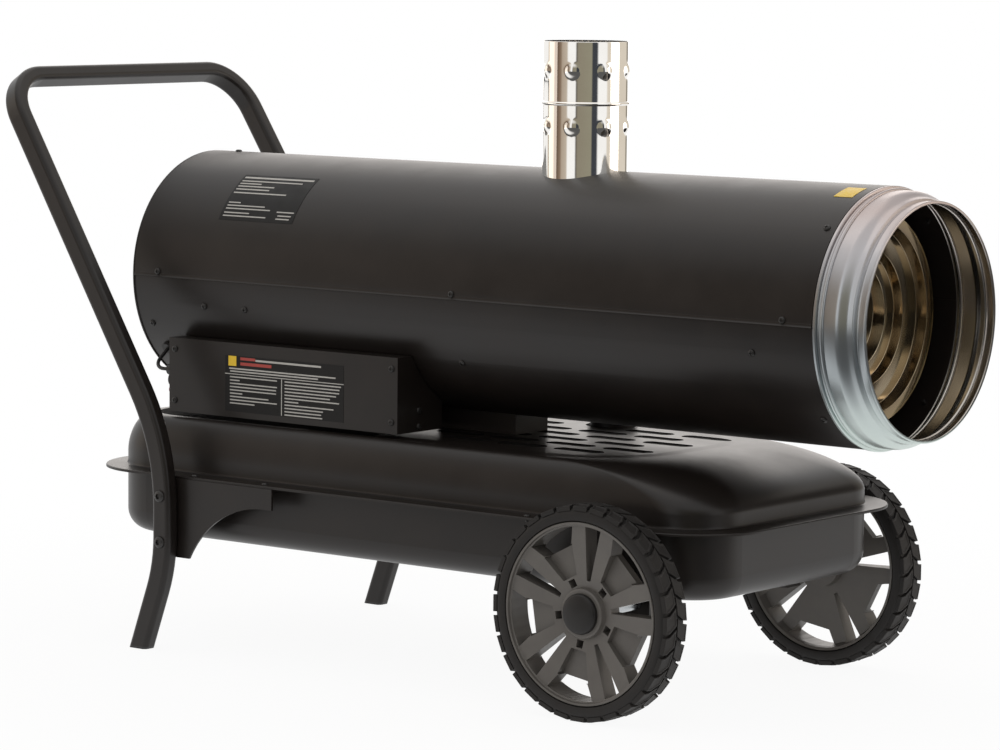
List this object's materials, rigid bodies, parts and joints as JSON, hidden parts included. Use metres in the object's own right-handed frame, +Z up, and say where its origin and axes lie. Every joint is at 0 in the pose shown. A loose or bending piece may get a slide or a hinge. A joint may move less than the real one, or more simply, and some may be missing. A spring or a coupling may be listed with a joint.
{
  "type": "indirect-fired diesel heater",
  "caption": "Wheeled space heater: a barrel with a flue stub and a ducted warm-air outlet on a fuel tank, with a push handle and a control box.",
  "frame": {"origin": "on the floor, at the centre of the part's box", "axes": "+X along the barrel towards the warm-air outlet, -Y the control box side, +Z up"},
  "size_m": [1.2772, 0.5342, 0.767],
  "materials": {
    "black_powder_coat": "satin black powder coat",
    "black_screw": "black oxide",
    "galvanised_sheet": "spangled zinc",
    "polished_stainless": "polished",
    "heat_tinted_stainless": "straw heat tint",
    "zinc_steel": "zinc plated",
    "motor_paint": "grey enamel",
    "cast_aluminium": "cast",
    "nozzle_brass": "turned",
    "copper_pipe": "drawn",
    "white_ceramic": "glazed",
    "filter_bowl": "clear moulded",
    "coupling_polymer": "moulded",
    "charcoal_wheel": "moulded",
    "tyre_rubber": "matt",
    "black_plastic": "moulded",
    "red_plastic": "moulded",
    "black_rubber": "matt"
  },
  "bodies": {
    "chassis": {"barrel_upper_shell": "black_powder_coat", "barrel_lower_shell": "black_powder_coat", "tank_bottom_shell": "black_powder_coat", "tank_top_shell": "black_powder_coat", "heat_shield": "black_powder_coat", "front_saddle": "black_powder_coat", "rear_saddle": "black_powder_coat", "handle_tube": "black_powder_coat", "handle_bracket_near": "black_powder_coat", "handle_bracket_far": "black_powder_coat", "control_box_body": "black_powder_coat", "control_box_cover": "black_powder_coat", "rear_guard": "black_powder_coat", "filler_neck": "black_powder_coat", "axle_blocks": "black_powder_coat", "barrel_screws": "black_screw", "flange_screws": "black_screw", "box_screws": "black_screw", "handle_bolts": "black_screw", "outlet_collar": "galvanised_sheet", "flue_stub": "polished_stainless", "exchanger_drum": "heat_tinted_stainless", "exchanger_front_plate": "heat_tinted_stainless", "exchanger_rear_plate": "heat_tinted_stainless", "combustion_chamber": "heat_tinted_stainless", "exchanger_supports": "zinc_steel", "burner_tube": "zinc_steel", "diffuser_disc": "zinc_steel", "motor_pedestal": "zinc_steel", "axle": "zinc_steel", "axle_washers": "zinc_steel", "flame_sensor": "zinc_steel", "fan_motor": "motor_paint", "pump_adapter": "cast_aluminium", "fuel_pump": "cast_aluminium", "nozzle_holder": "nozzle_brass", "suction_pipe": "copper_pipe", "nozzle_pipe": "copper_pipe", "ignition_electrodes": "white_ceramic", "fuel_filter": "filter_bowl", "cable_glands": "black_plastic", "burner_controller": "black_plastic", "ignition_transformer": "black_plastic", "foot_caps": "black_plastic", "barrel_grommets": "black_rubber", "motor_cable": "black_rubber", "valve_cable": "black_rubber"},
    "wheel_near": {"wheel_rim_near": "charcoal_wheel", "tyre_near": "tyre_rubber", "hub_cap_near": "charcoal_wheel"},
    "wheel_far": {"wheel_rim_far": "charcoal_wheel", "tyre_far": "tyre_rubber", "hub_cap_far": "charcoal_wheel"},
    "fan": {"motor_shaft": "zinc_steel", "fan_impeller": "cast_aluminium", "shaft_coupling": "coupling_polymer"},
    "fuel_cap": {"fuel_cap": "black_plastic"},
    "power_switch": {"power_switch": "black_plastic"},
    "thermostat_knob": {"thermostat_knob": "black_plastic"},
    "reset_button": {"reset_button": "red_plastic"}
  },
  "joints": [
    {"name": "wheel_near_spin", "type": "hinge", "parent": "chassis", "child": "wheel_near", "pos_m": [0.341, 0, 0.125], "axis": [0, 1, 0], "continuous": true},
    {"name": "wheel_far_spin", "type": "hinge", "parent": "chassis", "child": "wheel_far", "pos_m": [0.341, 0, 0.125], "axis": [0, 1, 0], "continuous": true},
    {"name": "fan_spin", "type": "hinge", "parent": "chassis", "child": "fan", "pos_m": [0, 0, 0.46], "axis": [1, 0, 0], "continuous": true},
    {"name": "fuel_cap_turn", "type": "hinge", "parent": "chassis", "child": "fuel_cap", "pos_m": [0.0925, 0.13, 0.308], "axis": [0, 0, 1], "range_deg": [0, 90]},
    {"name": "power_switch_rock", "type": "hinge", "parent": "chassis", "child": "power_switch", "pos_m": [-0.3855, -0.142, 0.366], "axis": [0, -1, 0], "range_deg": [0, 24]},
    {"name": "thermostat_turn", "type": "hinge", "parent": "chassis", "child": "thermostat_knob", "pos_m": [-0.389, -0.1, 0.311], "axis": [1, 0, 0], "range_deg": [0, 270]},
    {"name": "reset_press", "type": "slide", "parent": "chassis", "child": "reset_button", "axis": [1, 0, 0], "range_m": [0, 0.0025], "stiffness_N_per_m": 600}
  ]
}
